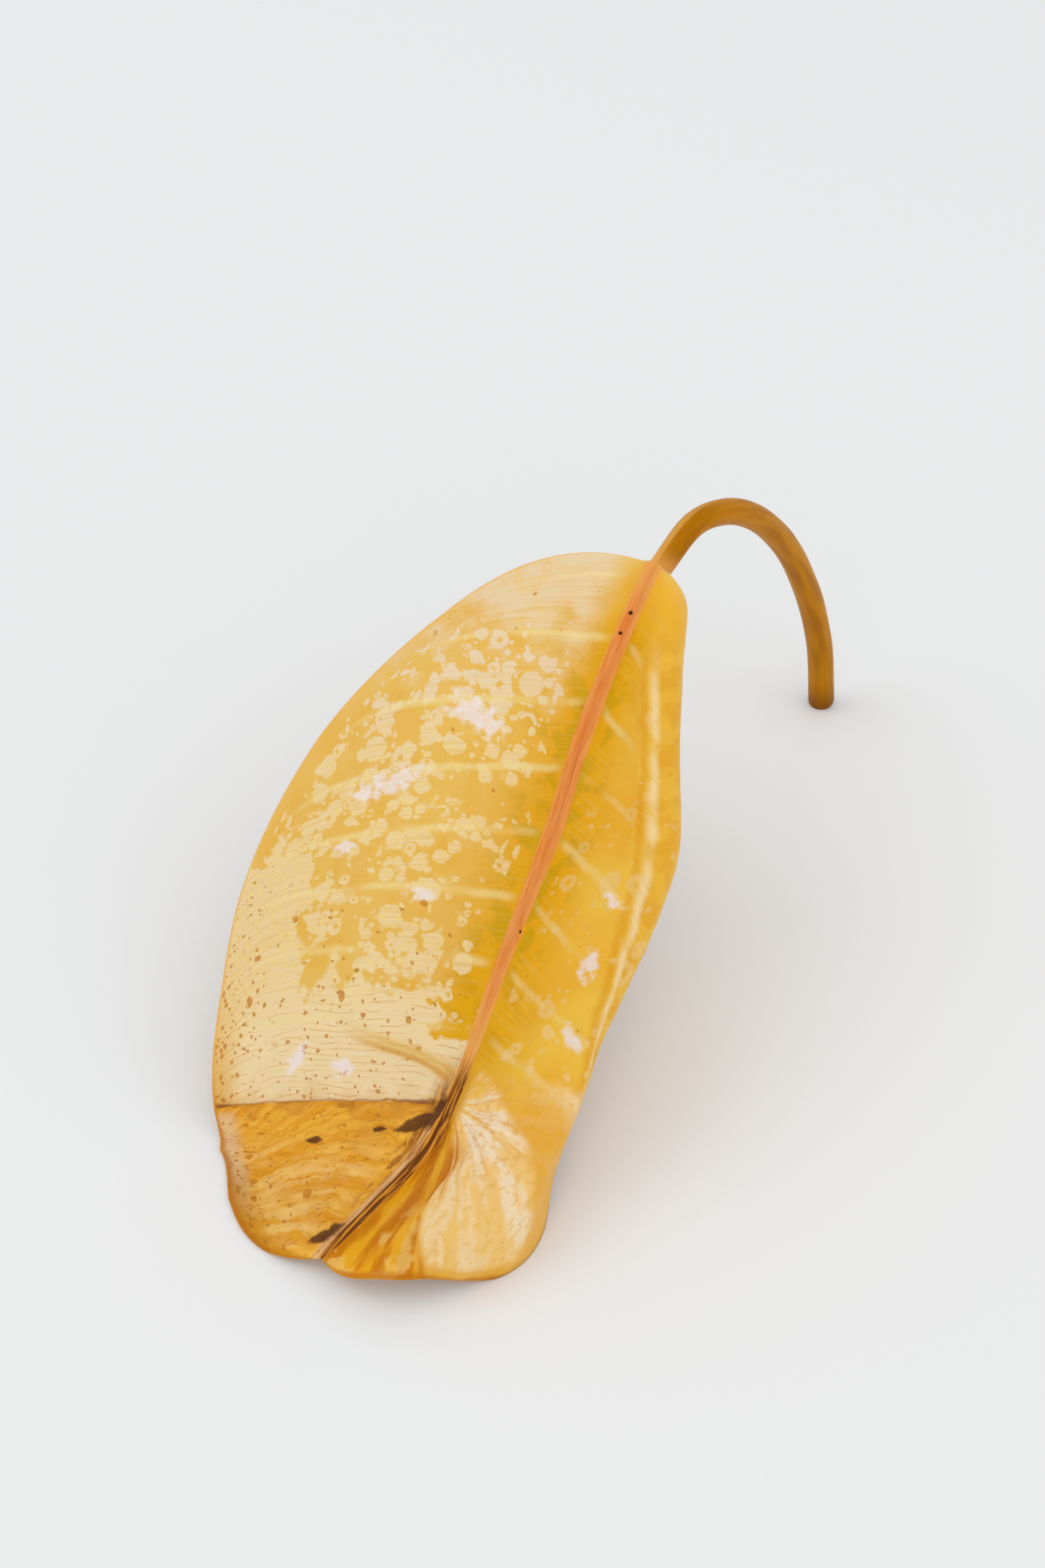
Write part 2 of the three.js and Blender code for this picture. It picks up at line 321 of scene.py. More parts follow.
sheet = sheet + outward(sheet) * lift[..., None]
half_columns = len(RIB_COLUMNS) + BLADE_COLUMNS
rib_share = np.concatenate([RIB_COLUMNS, np.full(BLADE_COLUMNS, 2.0)])
rib_share = np.concatenate([rib_share[::-1], [0], rib_share])
flat_top = np.sqrt(np.clip(1 - rib_share ** 6, 0, None))
round_under = np.sqrt(np.clip(1 - rib_share ** 2, 0, None))
off_edge = np.clip(inset / EDGE_ROUND, 0, 1)
thickness = BLADE_THICKNESS * (EDGE_SHARE + (1 - EDGE_SHARE) * np.sqrt(1 - (1 - off_edge) ** 2))
thickness[-1] = 0
offset = outward(sheet) * thickness[..., None] / 2
raised = (0.5 * follow(stations, rib_raise, row_place)[:, None] * flat_top)[..., None] * row_up[:, None, :]
deepened = (follow(stations, rib_depth, row_place)[:, None] * round_under)[..., None] * row_up[:, None, :]
deepened[-1] = 0
upper_face = sheet + offset + raised
lower_face = sheet - offset - deepened

# Where the leaf would reach through the table it is pressed up onto it
lift_to_table = np.clip(-np.minimum(upper_face[..., 2], lower_face[..., 2]), 0, None)
upper_face[..., 2] += lift_to_table
lower_face[..., 2] += lift_to_table

# The stalk stands on its cut end and arches over to the blade. Its rings have as many points as a ring of
# the blade, which runs over the upper face from left to right and back under the lower face.
stalk_length = stalk_stations[-1]
foot_rings = np.array([0, 0.05, 0.2, 0.45, FOOT_ROUNDING])
ring_place = np.concatenate([foot_rings, np.linspace(FOOT_ROUNDING, stalk_length, STALK_ROWS)[1:]])
foot_part = np.clip(1 - ring_place / FOOT_ROUNDING, 0, 1)
ring_radius = follow(stalk_stations, stalk_radius, ring_place)
ring_radius -= FOOT_ROUNDING * (1 - np.sqrt(1 - foot_part ** 2))
ring_size = 2 * (2 * half_columns + 1)
ring_angle = 2 * np.pi * (np.arange(ring_size) + 0.5) / ring_size
stalk_left, stalk_up = directions(stalk_stations, stalk_points, ring_place)[1:]
ring_centre = follow_points(stalk_stations, stalk_points, ring_place)[:, None]
bark = 1 + 0.035 * unevenness(
    np.cos(ring_angle) * 2 + ring_place[:, None] / 30, np.sin(ring_angle) * 2 + ring_place[:, None] / 9, 8)
radius_here = ring_radius[:, None, None] * bark[..., None]
sideways = stalk_left[:, None] * np.cos(ring_angle)[:, None] + stalk_up[:, None] * np.sin(ring_angle)[:, None]
stalk_rings = ring_centre + radius_here * sideways
stalk_rings[..., 2] = np.maximum(stalk_rings[..., 2], 0)
stalk_rings[0, :, 2] = 0

blade_rings = np.concatenate([upper_face, lower_face[:, ::-1]], axis=1)
rings = np.concatenate([stalk_rings, blade_rings]) + np.array(CENTRE_SHIFT)


# What the finish reads at each point: its place on the leaf and as if the blade lay flat, in millimetres, its
# place among the veins, how far it is from the crest, the marks and the wrinkle, and whether it is on the rib
# or underneath
def both_faces(on_sheet):
    return np.concatenate([on_sheet, on_sheet[:, ::-1]], axis=1)


stalk_shape = (len(ring_place), ring_size)
stalk_along = np.broadcast_to((ring_place - stalk_length)[:, None], stalk_shape)
stalk_across = ring_radius[:, None] * (np.pi / 2 - ring_angle)
far_off = np.full(stalk_shape, 9.0)
ring_across = np.concatenate([stalk_across, both_faces(across)])
ring_along = np.concatenate([stalk_along, both_faces(along)])
ring_inset = np.concatenate([far_off, both_faces(inset)])
ring_flat_across = np.concatenate([stalk_across, both_faces(flat_across)])
ring_flat_along = np.concatenate([stalk_along, both_faces(flat_along)])
ring_vein = np.concatenate([stalk_along, both_faces(vein_place)])
ring_crest = np.concatenate([np.full(stalk_shape, float(BEFORE_CREST)), both_faces(past_crest)])
ring_bruise = np.concatenate([far_off, both_faces(from_bruise)])
# How far a point is from the painted glints, pale patches of painted window reflection
ring_painted_glint = np.concatenate([far_off, both_faces(from_painted_glint)])
ring_off_wrinkle = np.concatenate([far_off, both_faces(off_wrinkle)])
ring_down_wrinkle = np.concatenate([far_off, both_faces(down_wrinkle)])
on_rib_sheet = np.broadcast_to((rib_share < 1).astype(float), across.shape)
ring_on_rib = np.concatenate([np.ones(stalk_shape), both_faces(on_rib_sheet)])
is_under = np.concatenate([np.zeros(across.shape), np.ones(across.shape)], axis=1)
ring_under = np.concatenate([np.broadcast_to((np.sin(ring_angle) < 0) * 1.0, stalk_shape), is_under])

skin = bmesh.new()
place_layer = skin.verts.layers.float_vector.new("leaf_place")
flat_layer = skin.verts.layers.float_vector.new("flat_place")
vein_layer = skin.verts.layers.float.new("vein_place")
crest_layer = skin.verts.layers.float.new("past_crest")
marks_layer = skin.verts.layers.float_vector.new("from_marks")
wrinkle_layer = skin.verts.layers.float_vector.new("wrinkle_place")
rib_layer = skin.verts.layers.float.new("on_rib")
under_layer = skin.verts.layers.float.new("underside")
bmesh.ops.create_grid(skin, x_segments=ring_size, y_segments=len(rings) - 1, size=1)
for vert in skin.verts:
    column = round((vert.co.x + 1) / 2 * ring_size) % ring_size
    row = round((vert.co.y + 1) / 2 * (len(rings) - 1))
    vert[place_layer] = (ring_across[row, column], ring_along[row, column], ring_inset[row, column])
    vert[flat_layer] = (ring_flat_across[row, column], ring_flat_along[row, column], 0)
    vert[vein_layer] = ring_vein[row, column]
    vert[crest_layer] = ring_crest[row, column]
    vert[marks_layer] = (ring_bruise[row, column], ring_painted_glint[row, column], 0)
    vert[wrinkle_layer] = (ring_off_wrinkle[row, column], ring_down_wrinkle[row, column], 0)
    vert[rib_layer] = ring_on_rib[row, column]
    vert[under_layer] = ring_under[row, column]
    vert.co = rings[row, column] * MILLIMETRE
WELD_DISTANCE = 0.000001
bmesh.ops.remove_doubles(skin, verts=skin.verts, dist=WELD_DISTANCE)
open_edges = [edge for edge in skin.edges if edge.is_boundary]
bmesh.ops.holes_fill(skin, edges=open_edges)
bmesh.ops.recalc_face_normals(skin, faces=skin.faces)
for face in skin.faces:
    face.smooth = len(face.verts) == 4
leaf_mesh = bpy.data.meshes.new("leaf_skin")
skin.to_mesh(leaf_mesh)
skin.free()
leaf = bpy.data.objects.new("leaf_skin", leaf_mesh)
bpy.context.scene.collection.objects.link(leaf)

# Leaf, its finish
# Dried leaf tissue under a thin waxy skin. The green has gone, which leaves gold beside the midrib, cream
# where the tissue has bleached, round pale blotches, rust specks, and brown bruises at the bend.
finish = bpy.data.materials.new("dried_leaf")
finish.use_nodes = True
nodes = finish.node_tree.nodes
links = finish.node_tree.links
surface = nodes["Principled BSDF"]


# Adds a node, sets its inputs by name or number, and gives back one of its outputs
def put(kind, inputs, output=0, **settings):
    made = nodes.new(kind)
    for name, value in settings.items():
        setattr(made, name, value)
    for key, value in inputs.items():
        if isinstance(value, bpy.types.NodeSocket):
            links.new(value, made.inputs[key])
        else:
            made.inputs[key].default_value = value
    return made.outputs[output]


def calc(operation, *values):
    return put("ShaderNodeMath", dict(enumerate(values)), operation=operation)


def times(first, *others):
    for other in others:
        first = calc("MULTIPLY", first, other)
    return first


def plus(first, *others):
    for other in others:
        first = calc("ADD", first, other)
    return first


def most(first, *others):
    for other in others:
        first = calc("MAXIMUM", first, other)
    return first


def apart(first, second):
    return calc("ABSOLUTE", calc("SUBTRACT", first, second))


# 0 up to the first value and 1 from the second on, or the other way round where the first is larger
def between(value, start, end):
    inputs = {"Value": value, "From Min": start, "From Max": end}
    return put("ShaderNodeMapRange", inputs, interpolation_type="SMOOTHSTEP")


def blend(share, first, second):
    return put("ShaderNodeMix", {0: share, 6: first, 7: second}, output=2, data_type="RGBA")


def point(x, y=0.0):
    return put("ShaderNodeCombineXYZ", {0: x, 1: y})


def patchy(place, size, detail=1.0, output=0):
    inputs = {"Vector": place, "Scale": 1 / size, "Detail": detail}
    return put("ShaderNodeTexNoise", inputs, output=output, noise_dimensions="2D")


def paint(red, green, blue):
    return tuple((channel / 255) ** 2.2 for channel in (red, green, blue)) + (1,)


def read(name, output="Fac"):
    return put("ShaderNodeAttribute", {}, output=output, attribute_name=name)


def read_parts(name):
    split = nodes.new("ShaderNodeSeparateXYZ")
    links.new(read(name, "Vector"), split.inputs[0])
    return split.outputs[0], split.outputs[1], split.outputs[2]


# Where on the leaf a point is, in millimetres
left_of_rib, down_leaf, from_edge = read_parts("leaf_place")
# The marks are the bruises and the painted glints, which are patches of painted reflection
from_bruise_here, from_painted_glint_here = read_parts("from_marks")[:2]
off_line, down_line = read_parts("wrinkle_place")[:2]
flat_place = read("flat_place", "Vector")
vein = read("vein_place")
from_crest = read("past_crest")
on_rib = read("on_rib")
underside = read("underside")
out = calc("ABSOLUTE", left_of_rib)
on_left = between(left_of_rib, -0.4, 0.4)
on_right = calc("SUBTRACT", 1, on_left)
past_bend = plus(down_leaf, -BEND_AT, times(left_of_rib, 0.08))
broad = patchy(flat_place, 12)
cloudy = patchy(flat_place, 4, 3)
grainy = patchy(flat_place, 0.9, 2)
ragged = calc("SUBTRACT", cloudy, 0.5)
fine_ragged = calc("SUBTRACT", patchy(flat_place, 1.5, 2), 0.5)
grain = patchy(point(times(vein, 2.4), times(left_of_rib, 0.09)), 1, 2)

# Gold, deeper on the right half and beside the midrib, with a little olive left there, and peach at the edge
left_gold = blend(between(broad, 0.35, 0.65), paint(227, 177, 92), paint(224, 164, 60))
right_gold = blend(between(broad, 0.35, 0.65), paint(244, 184, 70), paint(240, 170, 52))
tissue = blend(on_right, left_gold, right_gold)
deep_gold = blend(between(cloudy, 0.4, 0.65), paint(223, 160, 15), paint(208, 150, 10))
beside_rib = times(between(out, 15, 2), between(down_leaf, 2, 12), between(down_leaf, 96, 74))
tissue = blend(times(beside_rib, 0.92), tissue, deep_gold)
olive = times(
    between(cloudy, 0.5, 0.6), between(out, 11, 3), between(down_leaf, 12, 24), between(down_leaf, 72, 58))
tissue = blend(times(olive, 0.55), tissue, paint(188, 158, 24))
tissue = blend(times(between(from_edge, 6, 0.5), 0.6), tissue, paint(230, 176, 98))

# The right half folds down at an amber line along its crest. Beyond the line it has a painted pale highlight,
# then deep gold.
behind_crest = times(between(from_crest, -0.5, 1.5), between(down_leaf, 4, 12))
amber_gold = blend(between(cloudy, 0.4, 0.6), paint(236, 174, 60), paint(226, 158, 44))
tissue = blend(times(behind_crest, 0.85), tissue, amber_gold)
crest_break = between(patchy(point(times(down_leaf, 0.14), 3.0), 1), 0.3, 0.55)
crest_reach = times(between(down_leaf, 8, 18), between(down_leaf, 84, 70))
crest_off = plus(from_crest, times(ragged, 1.4))
# Painted highlight just past the crest line
crest_highlight = times(between(apart(crest_off, 1.8), 1.5, 0.1), crest_reach, crest_break)
tissue = blend(times(crest_highlight, 0.85), tissue, paint(252, 212, 158))
fold_line = times(between(calc("ABSOLUTE", crest_off), 1.1, 0), crest_reach)
tissue = blend(times(fold_line, 0.55), tissue, paint(210, 138, 24))

# Cream where the tissue has bleached: the base of the blade, the left half above the bend, and a haze between
base_limit = plus(down_leaf, times(ragged, 26), times(broad, 10), times(grain, 10))
base_cream = times(between(base_limit, 34, 14), on_left, between(out, 2.5, 8))
inner_limit = times(between(out, 2, 12), -10)
outer_limit = times(between(out, 27, 40), -24)
ragged_down = plus(down_leaf, times(ragged, 24), times(fine_ragged, 6))
past_limit = calc("SUBTRACT", ragged_down, plus(inner_limit, outer_limit, 77))
left_cream = times(between(past_limit, -1.6, 1.6), on_left)
middle_left = times(
    between(left_of_rib, 4, 9), between(from_edge, 2, 8),
    between(down_leaf, 10, 20), between(down_leaf, 76, 62))
haze = times(middle_left, between(plus(broad, times(ragged, 0.4)), 0.4, 0.62), 0.22)
tissue = blend(haze, tissue, paint(234, 202, 148))


# Round blotches: one to a cell of a random size, where the leaf has them at all. Some are rings.
wobble_noise = patchy(flat_place, 1.3, 1, output=1)
wobble = put("ShaderNodeVectorMath", {0: wobble_noise, "Scale": 0.7}, operation="SCALE")
wobbled = put("ShaderNodeVectorMath", {0: flat_place, 1: wobble}, operation="ADD")


def scatter(cell, randomness):
    cells = nodes.new("ShaderNodeTexVoronoi")
    cells.voronoi_dimensions = "2D"
    links.new(wobbled, cells.inputs["Vector"])
    cells.inputs["Scale"].default_value = 1 / cell
    cells.inputs["Randomness"].default_value = randomness
    draw = nodes.new("ShaderNodeSeparateColor")
    links.new(cells.outputs["Color"], draw.inputs[0])
    return times(cells.outputs["Distance"], cell), draw.outputs[0], draw.outputs[1], draw.outputs[2]


def blotches(cell, largest, share_here):
    distance, first, second, third = scatter(cell, 0.75)
    radius = times(plus(times(first, 0.65), 0.35), largest)
    inside = between(calc("SUBTRACT", distance, radius), 0.18, -0.14)
    present = between(calc("SUBTRACT", share_here, second), 0, 0.03)
    from_hole = calc("SUBTRACT", distance, times(radius, 0.35))
    hole = times(between(from_hole, 0.12, -0.12), between(third, 0.7, 0.72))
    return times(inside, present, calc("SUBTRACT", 1, hole))


clustered = between(patchy(flat_place, 6.5), 0.4, 0.56)
left_share = times(middle_left, plus(0.2, times(clustered, 0.75)))
right_share = times(
    on_right, between(out, 3, 6), between(down_leaf, 25, 40), between(down_leaf, 86, 74), 0.16)
blotch_share = plus(left_share, right_share)
blotch = most(
    blotches(4.0, 2.0, blotch_share), blotches(2.6, 1.3, times(blotch_share, 0.85)),
    blotches(1.5, 0.55, times(blotch_share, 0.8)))
cream_share = most(
    times(base_cream, 0.9), left_cream, times(blotch, calc("SUBTRACT", 1, times(on_right, 0.6))))
cream = blend(between(grain, 0.34, 0.68), paint(235, 202, 158), paint(231, 194, 142))
cream = blend(between(grainy, 0.56, 0.68), cream, paint(238, 204, 130))
cream = blend(times(between(down_leaf, 60, 76), 0.85), cream, paint(241, 211, 172))
cream = blend(between(down_leaf, 36, 18), cream, paint(227, 201, 176))
tissue = blend(times(cream_share, 0.9), tissue, cream)

# Fine lines follow the side veins: a faint close grain everywhere, and brown ones about 1 mm apart low on the
# left
grain_share = times(between(grain, 0.5, 0.7), plus(0.3, times(left_cream, -0.16)))
tissue = blend(grain_share, tissue, paint(222, 174, 88))
line_count = calc("DIVIDE", plus(vein, times(broad, 3.4), times(ragged, 0.8)), 1.15)
from_line = apart(calc("FRACT", line_count), 0.5)
line_break = between(patchy(point(times(vein, 0.9), times(left_of_rib, 0.2)), 1), 0.42, 0.6)
fine_line = times(between(from_line, 0.11, 0.01), line_break, left_cream, between(down_leaf, 58, 76))
tissue = blend(times(fine_line, 0.62), tissue, paint(196, 128, 40))
low_amber = times(on_left, between(from_edge, 7, 0.5), between(down_leaf, 58, 82))
tissue = blend(times(low_amber, 0.75), tissue, paint(212, 152, 58))

# Pale side veins
vein_number = calc("DIVIDE", plus(vein, -FIRST_VEIN, times(ragged, 0.8)), VEIN_GAP)
nearest_vein = calc("ROUND", vein_number)
vein_off = times(apart(vein_number, nearest_vein), VEIN_GAP)
vein_fade = times(
    between(down_leaf, 84, 76), between(from_edge, 2, 12), between(out, 1.5, 4), between(from_crest, 0, -5))
vein_paleness = patchy(point(times(nearest_vein, 3.7), times(left_of_rib, 0.09)), 1)
pale_vein = times(between(vein_off, 1.1, 0.05), vein_fade, between(vein_paleness, 0.22, 0.6))
tissue = blend(times(pale_vein, calc("SUBTRACT", 0.6, times(on_right, 0.15))), tissue, paint(238, 210, 152))

# The flap beyond the crease: amber, crumpled in lines that run level and then turn down along its edge, with
# a peach middle and a dull strip at its edge
on_flap = times(between(past_bend, -0.2, 0.4), between(left_of_rib, 0.6, 2.4))
flap_turned = calc("POWER", calc("MAXIMUM", plus(left_of_rib, -7), 0), 2)
flap_line = plus(past_bend, times(flap_turned, -0.032), times(ragged, 3))
flap_streak = patchy(point(times(flap_line, 0.5), times(left_of_rib, 0.07)), 1, 3)
amber = blend(between(flap_streak, 0.34, 0.66), paint(240, 168, 58), paint(228, 150, 42))
amber = blend(times(between(broad, 0.48, 0.62), 0.4), amber, paint(204, 134, 44))
flap_middle = times(between(past_bend, 6, 14), between(from_edge, 2, 7), between(left_of_rib, 3, 8))
peach_streak = between(plus(flap_streak, times(ragged, 0.7)), 0.76, 0.26)
peach_share = times(peach_streak, plus(0.08, times(flap_middle, 0.42)))
amber = blend(peach_share, amber, paint(250, 200, 136))
flap_threads = patchy(point(times(flap_line, 1.1), times(left_of_rib, 0.12)), 1, 3)
flap_crack = times(between(apart(flap_threads, 0.5), 0.024, 0.003), between(cloudy, 0.38, 0.54))
amber = blend(times(flap_crack, 0.65), amber, paint(158, 92, 24))
dull_strip = times(between(from_edge, 4.8, 2), between(past_bend, 0.5, 2.5), between(down_leaf, 110, 104))
amber = blend(times(dull_strip, 0.6), amber, paint(224, 190, 156))
low_edge = times(between(from_edge, 5, 1.5), between(down_leaf, 99, 105))
amber = blend(times(low_edge, 0.7), amber, paint(196, 130, 26))
tissue = blend(on_flap, tissue, amber)

# Right of the tip: an amber valley beside the ridge, darkened partly as painted shade in the hollow, then a
# peach lobe that wrinkles away from the bend
bend_distance = put("ShaderNodeVectorMath", {0: point(left_of_rib, plus(down_leaf, -BEND_AT))},
                    output="Value", operation="LENGTH")
bend_turn = calc("ARCTAN2", left_of_rib, plus(down_leaf, -BEND_AT))
rays = patchy(point(times(bend_turn, 6.5), times(bend_distance, 0.09)), 1, 3)
thin_rays = patchy(point(times(bend_turn, 16), times(bend_distance, 0.16)), 1)
lobe_limit = plus(down_leaf, times(out, 0.35), times(ragged, 9))
on_lobe = times(on_right, between(lobe_limit, 81, 88), between(out, 1, 3))
lobe = blend(between(rays, 0.4, 0.6), paint(255, 218, 180), paint(254, 194, 122))
lobe = blend(times(between(grainy, 0.54, 0.66), 0.45), lobe, paint(238, 166, 70))
ray_line = times(between(apart(thin_rays, 0.5), 0.05, 0.01), between(bend_distance, 20, 4))
lobe = blend(times(ray_line, 0.35), lobe, paint(200, 130, 50))
past_band = plus(times(plus(left_of_rib, 13), 0.523), times(plus(down_leaf, -83.4), 0.852), times(ragged, 3))
side_band = times(between(past_band, 3.9, 1.8), between(down_leaf, 76, 82))
low_band = most(between(from_edge, 5, 2), between(plus(down_leaf, times(ragged, 14)), 101, 106))
lobe = blend(times(between(down_leaf, 90, 99), 0.45), lobe, paint(250, 186, 100))
lobe = blend(times(most(side_band, low_band), 0.85), lobe, paint(232, 160, 46))
tissue = blend(on_lobe, tissue, lobe)
# The valley's dark amber is partly painted shade in the hollow beside the ridge
valley = times(on_right, between(plus(bend_turn, times(rays, 0.5)), -0.56, -0.28), between(down_leaf, 86, 90))
valley_tone = blend(between(rays, 0.4, 0.6), paint(232, 158, 24), paint(192, 112, 6))
valley_peach = times(between(cloudy, 0.5, 0.62), between(down_leaf, 98, 104), 0.7)
valley_tone = blend(valley_peach, valley_tone, paint(238, 184, 104))
tissue = blend(times(valley, 0.92), tissue, valley_tone)

# The crease is a brown line with a stain on both sides, widest at its ends
crease_ends = plus(between(left_of_rib, 12, 2), between(from_edge, 6, 1))
crease_sway = plus(past_bend, times(ragged, 1.6))
crease_off = calc("SUBTRACT", calc("ABSOLUTE", crease_sway), plus(0.08, times(crease_ends, 0.3)))
crease = times(between(crease_off, 0.35, -0.05), between(left_of_rib, -1, 0.5))
crease = times(crease, plus(0.5, times(crease_ends, 0.4)))
stain_off = plus(calc("ABSOLUTE", past_bend), times(ragged, 9))
stain = times(between(stain_off, 2.6, 0.2), between(left_of_rib, -1, 1), plus(0.16, times(on_flap, 0.3)))
tissue = blend(stain, tissue, paint(184, 116, 38))
tissue = blend(times(crease, 0.9), tissue, paint(112, 62, 28))

# At the bend the rib frays into brown fibres that stain the tissue beside them
fibres = patchy(point(times(left_of_rib, 3.2), times(down_leaf, 0.16)), 1, 2)
fray_start = between(plus(down_leaf, times(rays, 6)), 80, 90)
frayed = times(between(apart(left_of_rib, 0.9), 3.6, 0.8), fray_start, between(down_leaf, 99, 92))
frayed_tone = blend(between(fibres, 0.38, 0.55), paint(204, 134, 42), paint(112, 64, 26))
tissue = blend(times(frayed, 0.88), tissue, frayed_tone)

# The ridge that runs on to the tip: pale pink brown with dark flecks on its left
on_ridge = times(between(down_leaf, 87, 91), between(apart(left_of_rib, 0.7), 1.3, 0.6))
ridge_tone = blend(between(fibres, 0.42, 0.6), paint(224, 168, 112), paint(172, 112, 62))
tissue = blend(times(on_ridge, 0.85), tissue, ridge_tone)
fleck_band = times(
    between(apart(left_of_rib, 3.0), 2.2, 0.6), between(past_bend, 2, 5), between(down_leaf, 108, 100))
fleck_noise = patchy(point(times(left_of_rib, 0.8), times(down_leaf, 0.35)), 1, 2)
fleck = times(fleck_band, between(fleck_noise, 0.5, 0.6))
tissue = blend(times(fleck, 0.7), tissue, paint(134, 80, 44))

# Rust specks, thick towards the bend and the left edge
speck_low = times(between(down_leaf, 50, 86), between(left_of_rib, 3, 14), plus(1, times(on_flap, -0.5)))
speck_edge = times(between(from_edge, 11, 0), between(down_leaf, 40, 58), on_left)
speck_share = plus(times(speck_low, 0.2), times(speck_edge, 0.45), 0.012)


def specks(cell, largest, share_here):
    distance, first, second = scatter(cell, 1)[:3]
    radius = times(calc("POWER", first, 3), largest)
    inside = between(calc("SUBTRACT", distance, radius), 0.05, -0.05)
    return times(inside, between(calc("SUBTRACT", share_here, second), 0, 0.02))


rust = most(specks(1.3, 0.7, speck_share), specks(0.7, 0.36, times(speck_share, 1.6)))
tissue = blend(times(rust, 0.8), tissue, blend(grainy, paint(206, 140, 40), paint(150, 84, 34)))

# Brown bruises and the painted glints (pale lilac patches of painted reflection) have ragged edges, and show
# on the upper face only
on_top = calc("SUBTRACT", 1, underside)
bruised = times(between(plus(from_bruise_here, times(fine_ragged, 0.8)), 1.25, 0.8), on_top)
tissue = blend(times(bruised, 0.92), tissue, blend(fibres, paint(56, 33, 28), paint(98, 57, 36)))
painted_glint = times(between(plus(from_painted_glint_here, times(fine_ragged, 2.4)), 1.5, 0.5), on_top)
tissue = blend(times(painted_glint, 0.62), tissue, paint(240, 226, 234))

# The small wrinkle on the left half is an amber line with a gold side, which is painted shade along its
# groove
on_line = times(between(down_line, 2, 14), between(down_line, 27, 23))
# Painted shade along the groove side of the wrinkle
wrinkle_groove_shade = times(between(apart(off_line, -0.8), 1.6, 0.2), on_line)
tissue = blend(times(wrinkle_groove_shade, 0.6), tissue, paint(224, 170, 70))
line_share = times(between(calc("ABSOLUTE", off_line), 0.5, 0.05), on_line, 0.65)
tissue = blend(line_share, tissue, paint(190, 128, 40))

# A thin amber line all along the edge
edge_tone = blend(between(down_leaf, 70, 90), paint(226, 158, 84), paint(180, 104, 24))
edge_width = plus(1.0, times(between(down_leaf, 86, 98), 0.9))
tissue = blend(times(between(from_edge, edge_width, 0.3), 0.85), tissue, edge_tone)

# The rib's flat top is salmon with fine fibres and a few black specks. It is peach at both ends.
salmon = blend(between(fibres, 0.42, 0.62), paint(232, 158, 90), paint(224, 140, 66))
rib_end = most(between(down_leaf, 9, 2), between(down_leaf, 66, 82))
salmon = blend(times(rib_end, 0.75), salmon, paint(230, 168, 92))
rib_frayed = blend(between(fibres, 0.38, 0.56), paint(206, 136, 50), paint(104, 60, 28))
salmon = blend(between(down_leaf, 78, 85), salmon, rib_frayed)


def speck_at(aside, down, radius):
    away = put("ShaderNodeVectorMath", {0: point(left_of_rib, down_leaf), 1: (aside, down, 0)},
               output="Value", operation="DISTANCE")
    return between(away, radius * 1.3, radius * 0.7)


black_speck = most(speck_at(0.7, 8.2, 0.33), speck_at(0.9, 11.6, 0.3), speck_at(-1.2, 59.6, 0.28))
salmon = blend(black_speck, salmon, paint(70, 40, 24))

# The stalk is golden brown, olive in places, with a dark foot and a painted highlight, a light streak along
# its top near the blade
stalk_patch = patchy(point(times(left_of_rib, 0.5), times(down_leaf, 0.08)), 1, 3)
bark_tone = blend(between(stalk_patch, 0.35, 0.7), paint(182, 120, 5), paint(162, 102, 4))
bark_tone = blend(between(down_leaf, -76, -84), bark_tone, paint(130, 80, 6))
# Painted highlight along the top of the stalk near the blade
stalk_highlight = times(between(apart(left_of_rib, 0.6), 0.9, 0.3), between(down_leaf, -16, -4))
bark_tone = blend(times(stalk_highlight, 0.5), bark_tone, paint(232, 182, 96))
rib_tone = blend(between(down_leaf, -3.5, 1.5), bark_tone, salmon)
rib_tone = blend(times(underside, between(down_leaf, 0, 4), 0.7), rib_tone, paint(214, 158, 66))
tissue = blend(times(underside, between(down_leaf, 0, 2), 0.35), tissue, paint(226, 176, 96))
leaf_colour = blend(on_rib, tissue, rib_tone)

# Fine relief in the skin: the grain along the veins and the rib's fibres
skin_height = times(grain, 0.045)
height = put("ShaderNodeMix", {0: on_rib, 2: skin_height, 3: times(fibres, 0.06)})
bump = put("ShaderNodeBump", {"Strength": 1.0, "Distance": MILLIMETRE, "Height": height})

links.new(leaf_colour, surface.inputs["Base Color"])
links.new(bump, surface.inputs["Normal"])
links.new(plus(0.36, times(cream_share, 0.1), times(grainy, 0.12)), surface.inputs["Roughness"])
surface.inputs["Specular IOR Level"].default_value = 0.1
surface.inputs["Specular Tint"].default_value = (1, 0.75, 0.3, 1)
surface.inputs["Subsurface Weight"].default_value = 0.55
surface.inputs["Subsurface Radius"].default_value = (1.0, 0.85, 0.55)
surface.inputs["Subsurface Scale"].default_value = 0.004
surface.inputs["Coat Weight"].default_value = 0.035
surface.inputs["Coat Roughness"].default_value = 0.14
surface.inputs["Coat IOR"].default_value = 1.4
leaf_mesh.materials.append(finish)

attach(leaf, "root")
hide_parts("leaf")

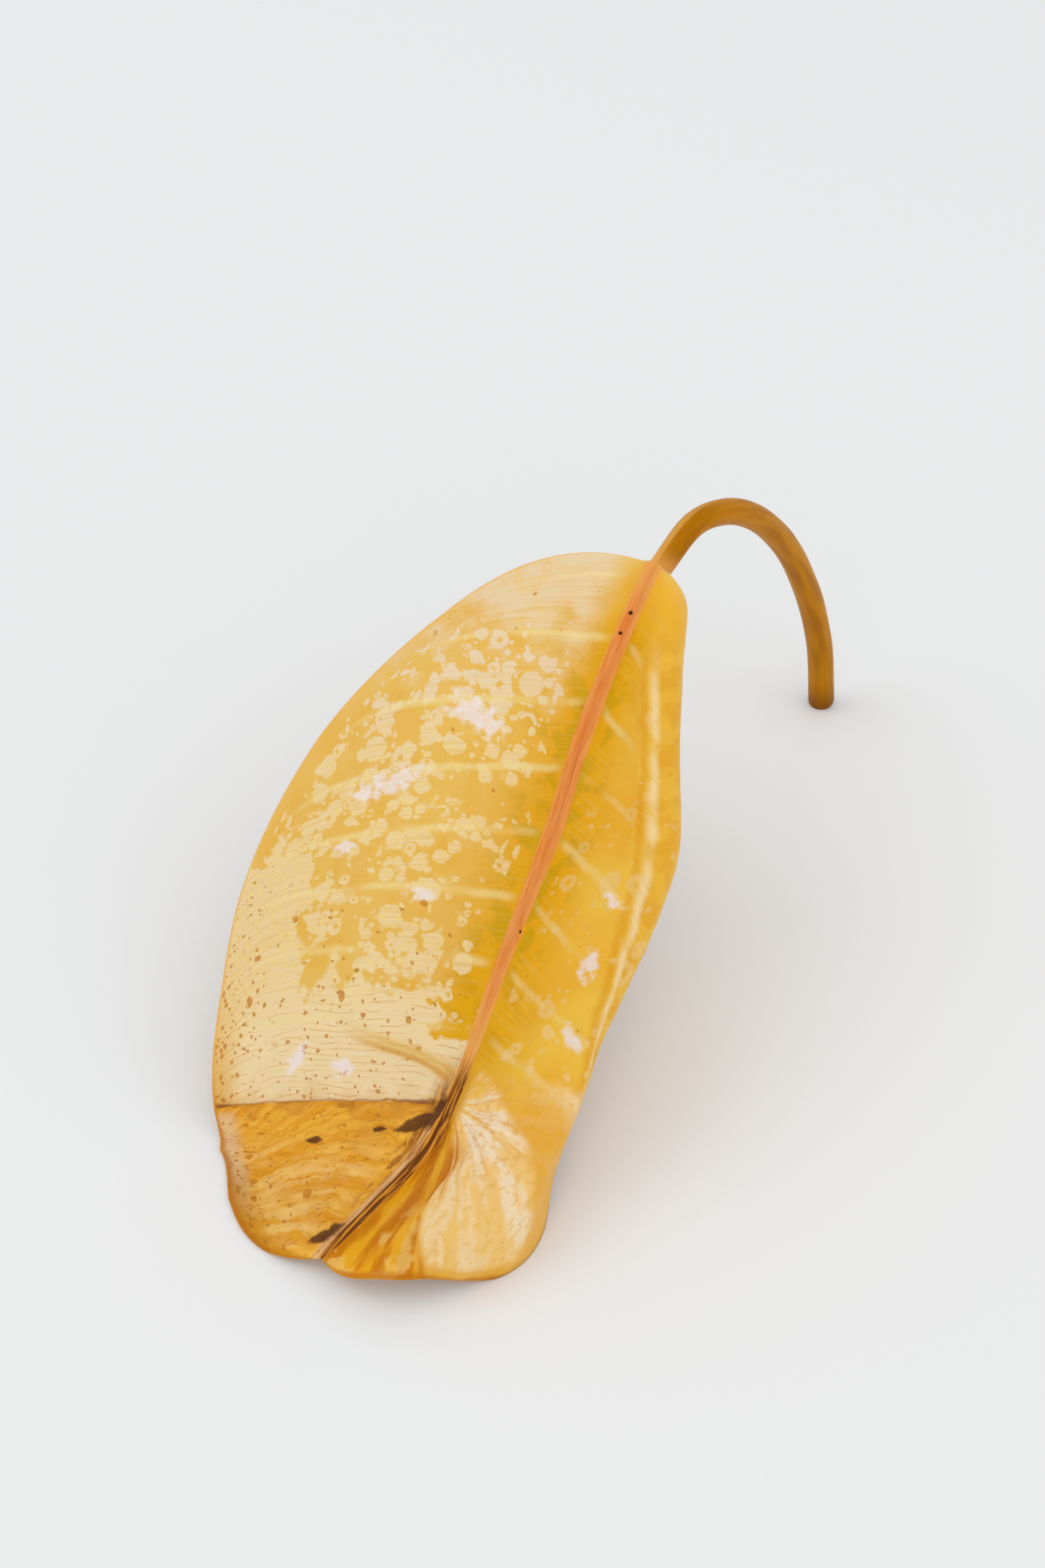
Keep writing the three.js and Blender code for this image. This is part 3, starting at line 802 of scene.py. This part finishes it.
# Table and light
# The leaf lies on a plain white table. One window at the left gives the most light, two weaker ones fill in
# from the front and the right, and the rest is the pale room.
TABLE_HALF_SIZE = 3
table = bmesh.new()
bmesh.ops.create_grid(table, x_segments=1, y_segments=1, size=TABLE_HALF_SIZE)
table_mesh = bpy.data.meshes.new("table")
table.to_mesh(table_mesh)
table.free()
table_top = bpy.data.objects.new("table", table_mesh)
bpy.context.scene.collection.objects.link(table_top)
white_board = bpy.data.materials.new("white_board")
white_board.use_nodes = True
board = white_board.node_tree.nodes["Principled BSDF"]
board.inputs["Base Color"].default_value = paint(234, 236, 237)
board.inputs["Roughness"].default_value = 0.6
board.inputs["Specular IOR Level"].default_value = 0.25
table_mesh.materials.append(white_board)


WINDOW_DISTANCE = 1.6
DAYLIGHT = (1, 0.985, 0.97)
WARM_LIGHT = (1, 0.97, 0.92)
ROOM_GREY = 0.985
ROOM_STRENGTH = 0.858


# A square of light that faces the leaf. Turn and height are degrees about the leaf, size is metres.
def window(name, turn, height, size, power, colour):
    light_data = bpy.data.lights.new(name, "AREA")
    light_data.shape = "SQUARE"
    light_data.size = size
    light_data.energy = power
    light_data.color = colour
    light = bpy.data.objects.new(name, light_data)
    level = WINDOW_DISTANCE * math.cos(math.radians(height))
    light.location = (
        level * math.cos(math.radians(turn)), level * math.sin(math.radians(turn)),
        WINDOW_DISTANCE * math.sin(math.radians(height)))
    light.rotation_euler = (-Vector(light.location)).to_track_quat("-Z", "Y").to_euler()
    bpy.context.scene.collection.objects.link(light)


window("window", -150, 52, 1.0, 3.2, DAYLIGHT)
window("front_window", -55, 30, 1.2, 2.4, DAYLIGHT)
window("far_window", 5, 20, 1.2, 2.4, WARM_LIGHT)
room = bpy.data.worlds.new("room")
room.use_nodes = True
room.node_tree.nodes["Background"].inputs["Color"].default_value = (ROOM_GREY, ROOM_GREY, ROOM_GREY, 1)
room.node_tree.nodes["Background"].inputs["Strength"].default_value = ROOM_STRENGTH
bpy.context.scene.world = room
bpy.context.scene.view_settings.view_transform = "Standard"
